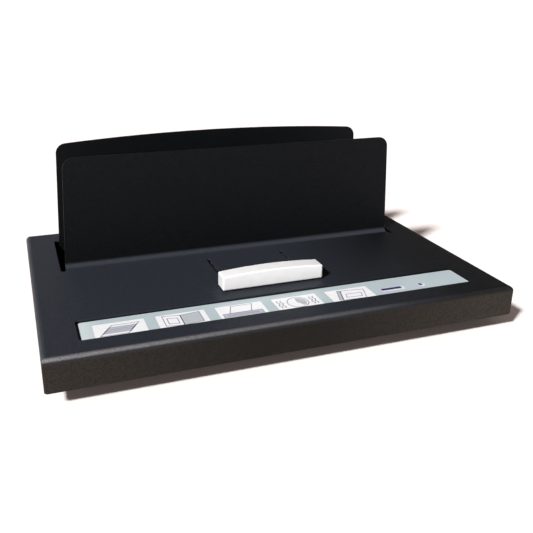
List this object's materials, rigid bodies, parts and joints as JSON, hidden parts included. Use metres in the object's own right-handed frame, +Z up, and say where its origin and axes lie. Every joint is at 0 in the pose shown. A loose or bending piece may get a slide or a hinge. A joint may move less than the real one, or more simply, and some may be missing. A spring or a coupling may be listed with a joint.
{
  "type": "thermal binding machine",
  "caption": "Desk thermal binding machine: low black steel case, two upright plates over a heated shelf, white sliding clamp handle, indicator strip.",
  "frame": {"origin": "on the table, under the middle of the case", "axes": "+X to the right along the case, +Y from the front apron to the rear wall, +Z up"},
  "size_m": [0.395, 0.263, 0.1459],
  "materials": {
    "powder_black": "fine-textured satin powder coat",
    "screw_black": "black zinc",
    "foot_rubber": "matt",
    "label_film": "satin film, grey-green with dark line pictures",
    "inner_black": "fine moulded",
    "board_green": "lacquered circuit board",
    "lens_blue": "clear tinted, dark when off",
    "handle_white": "smooth white",
    "zinc_steel": "zinc plated sheet",
    "bright_steel": "bright plated",
    "slide_nylon": "natural nylon",
    "heater_aluminium": "rolled",
    "element_mica": "mica laminate",
    "insulation_fibre": "mineral fibre board",
    "core_laminate": "varnished steel laminations",
    "relay_blue": "smooth moulded",
    "lead_sleeve": "glass-braid sleeve, off white"
  },
  "bodies": {
    "case": {"top_cover": "powder_black", "back_plate": "powder_black", "base_pan": "powder_black", "foot_front_left": "foot_rubber", "foot_front_right": "foot_rubber", "foot_back_left": "foot_rubber", "foot_back_right": "foot_rubber", "case_screw_front_left": "screw_black", "case_screw_front_right": "screw_black", "case_screw_back_left": "screw_black", "case_screw_back_right": "screw_black", "shelf_screw_1": "screw_black", "shelf_screw_2": "screw_black", "shelf_screw_3": "screw_black", "shelf_screw_4": "screw_black", "label_strip": "label_film", "label_carrier": "inner_black", "indicator_board": "board_green", "indicator_bar": "lens_blue", "status_lamp": "lens_blue", "rod_bracket_left": "zinc_steel", "rod_bracket_right": "zinc_steel", "guide_rod_left": "bright_steel", "guide_rod_right": "bright_steel", "heater_plate": "heater_aluminium", "heating_element": "element_mica", "insulation_board": "insulation_fibre", "heater_retainer": "zinc_steel", "heater_bolt_1": "bright_steel", "heater_bolt_2": "bright_steel", "heater_bolt_3": "bright_steel", "heater_bolt_4": "bright_steel", "thermostat": "bright_steel", "thermal_fuse": "bright_steel", "control_board": "board_green", "board_pillar_1": "slide_nylon", "board_pillar_2": "slide_nylon", "board_pillar_3": "slide_nylon", "board_pillar_4": "slide_nylon", "transformer": "core_laminate", "relay": "relay_blue", "buzzer": "inner_black", "mains_inlet": "inner_black", "power_switch": "inner_black", "start_switch": "inner_black", "mains_lead": "lead_sleeve", "switch_lead": "lead_sleeve", "heater_lead": "lead_sleeve", "indicator_cable": "lead_sleeve"},
    "clamp": {"handle": "handle_white", "carriage_plate": "zinc_steel", "clamp_jaw": "powder_black", "jaw_screw_1": "bright_steel", "jaw_screw_2": "bright_steel", "jaw_screw_3": "bright_steel", "slide_block_left": "slide_nylon", "slide_block_right": "slide_nylon"},
    "rocker": {"power_rocker": "inner_black"},
    "lever": {"start_lever": "bright_steel"}
  },
  "joints": [
    {"name": "clamp_slide", "type": "slide", "parent": "case", "child": "clamp", "axis": [0, 1, 0], "range_m": [0, 0.064]},
    {"name": "rocker_tilt", "type": "hinge", "parent": "case", "child": "rocker", "pos_m": [0.1295, 0.126, 0.02745], "axis": [0, 0, -1], "range_deg": [0, 16]},
    {"name": "start_lever_tilt", "type": "hinge", "parent": "case", "child": "lever", "pos_m": [0, 0.1231, 0.027], "axis": [1, 0, 0], "range_deg": [0, 6.5], "stiffness_Nm_per_rad": 0.004, "springref_deg": -17.19}
  ]
}
